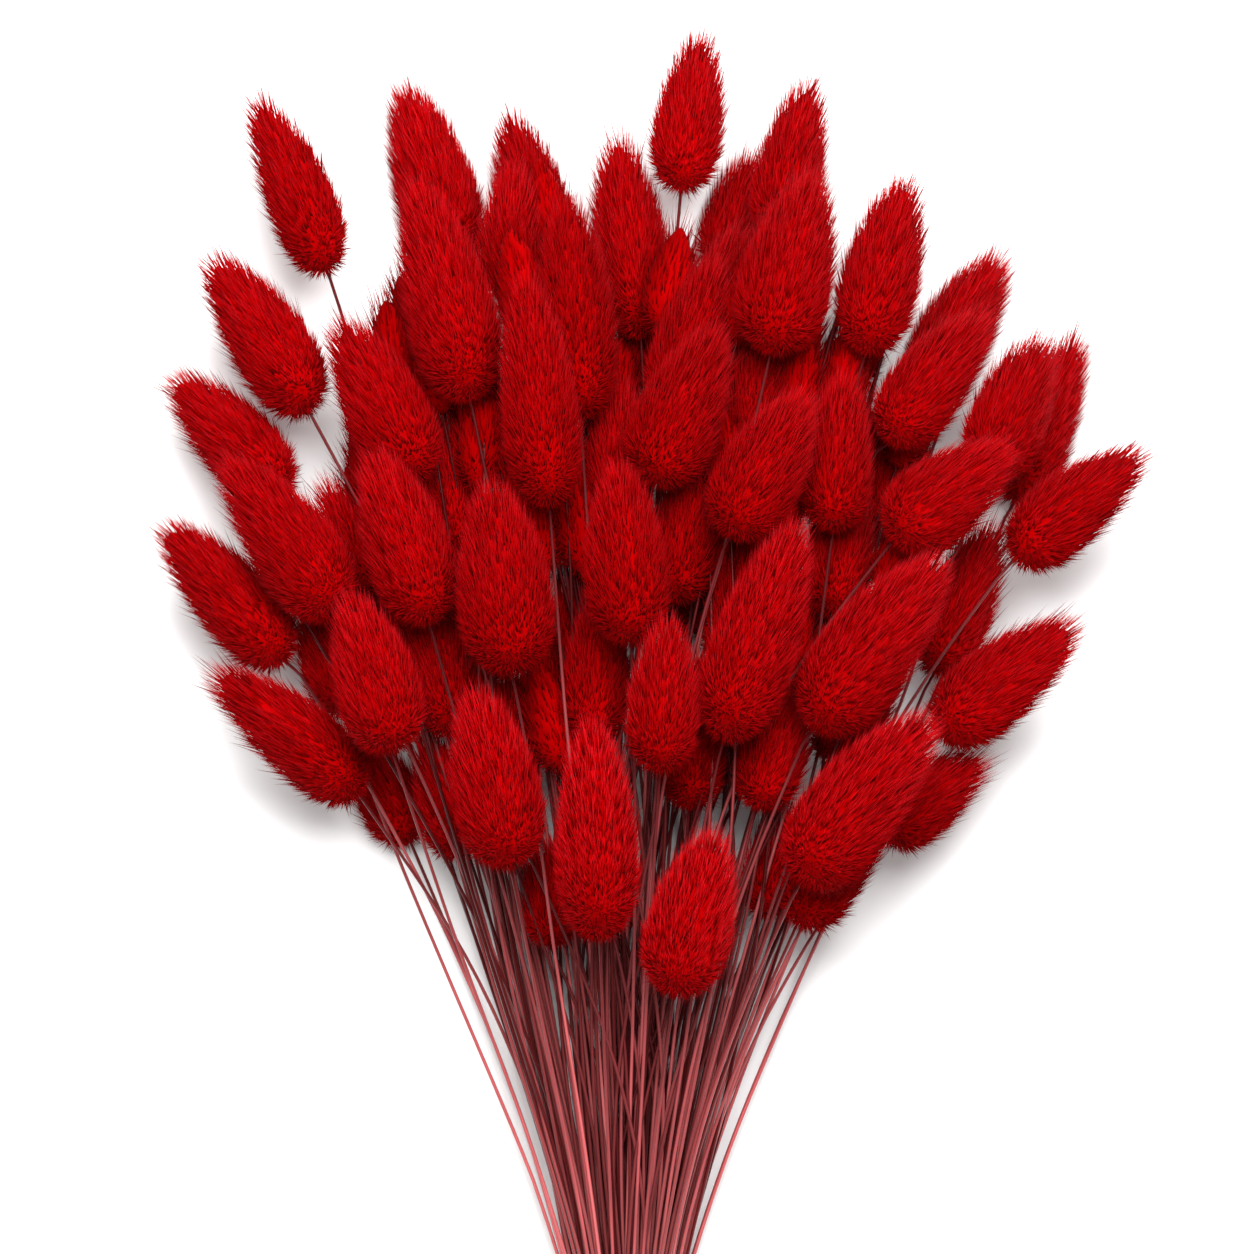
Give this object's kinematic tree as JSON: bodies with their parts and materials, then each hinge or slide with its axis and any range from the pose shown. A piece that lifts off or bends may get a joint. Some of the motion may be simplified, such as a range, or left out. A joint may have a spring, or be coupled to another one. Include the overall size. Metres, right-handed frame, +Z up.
{
  "type": "dried bunny tail grass bunch",
  "caption": "Tied bunch of dried, red-dyed bunny tail grass with soft egg-shaped seed heads on thin stems, lying on its side as a loose decoration.",
  "frame": {"origin": "middle of the bunch's footprint, on the table it lies on", "axes": "+Y runs from the cut stem ends to the tips of the seed heads, +Z is up, and +X runs across the bunch"},
  "size_m": [0.2506, 0.4082, 0.0863],
  "materials": {
    "dyed_grass": "matte",
    "jute_twine": "matte"
  },
  "bodies": {
    "root": {"stalk_01": "dyed_grass", "stalk_02": "dyed_grass", "stalk_03": "dyed_grass", "stalk_04": "dyed_grass", "stalk_05": "dyed_grass", "stalk_06": "dyed_grass", "stalk_07": "dyed_grass", "stalk_08": "dyed_grass", "stalk_09": "dyed_grass", "stalk_10": "dyed_grass", "stalk_11": "dyed_grass", "stalk_12": "dyed_grass", "stalk_13": "dyed_grass", "stalk_14": "dyed_grass", "stalk_15": "dyed_grass", "stalk_16": "dyed_grass", "stalk_17": "dyed_grass", "stalk_18": "dyed_grass", "stalk_19": "dyed_grass", "stalk_20": "dyed_grass", "stalk_21": "dyed_grass", "stalk_22": "dyed_grass", "stalk_23": "dyed_grass", "stalk_24": "dyed_grass", "stalk_25": "dyed_grass", "stalk_26": "dyed_grass", "stalk_27": "dyed_grass", "stalk_28": "dyed_grass", "stalk_29": "dyed_grass", "stalk_30": "dyed_grass", "stalk_31": "dyed_grass", "stalk_32": "dyed_grass", "stalk_33": "dyed_grass", "stalk_34": "dyed_grass", "stalk_35": "dyed_grass", "stalk_36": "dyed_grass", "stalk_37": "dyed_grass", "stalk_38": "dyed_grass", "stalk_39": "dyed_grass", "stalk_40": "dyed_grass", "stalk_41": "dyed_grass", "stalk_42": "dyed_grass", "stalk_43": "dyed_grass", "stalk_44": "dyed_grass", "stalk_45": "dyed_grass", "stalk_46": "dyed_grass", "stalk_47": "dyed_grass", "stalk_48": "dyed_grass", "stalk_49": "dyed_grass", "stalk_50": "dyed_grass", "stalk_51": "dyed_grass", "stalk_52": "dyed_grass", "stalk_53": "dyed_grass", "stalk_54": "dyed_grass", "stalk_55": "dyed_grass", "stalk_56": "dyed_grass", "stalk_57": "dyed_grass", "stalk_58": "dyed_grass", "stalk_59": "dyed_grass", "twine_tie": "jute_twine"}
  },
  "joints": []
}
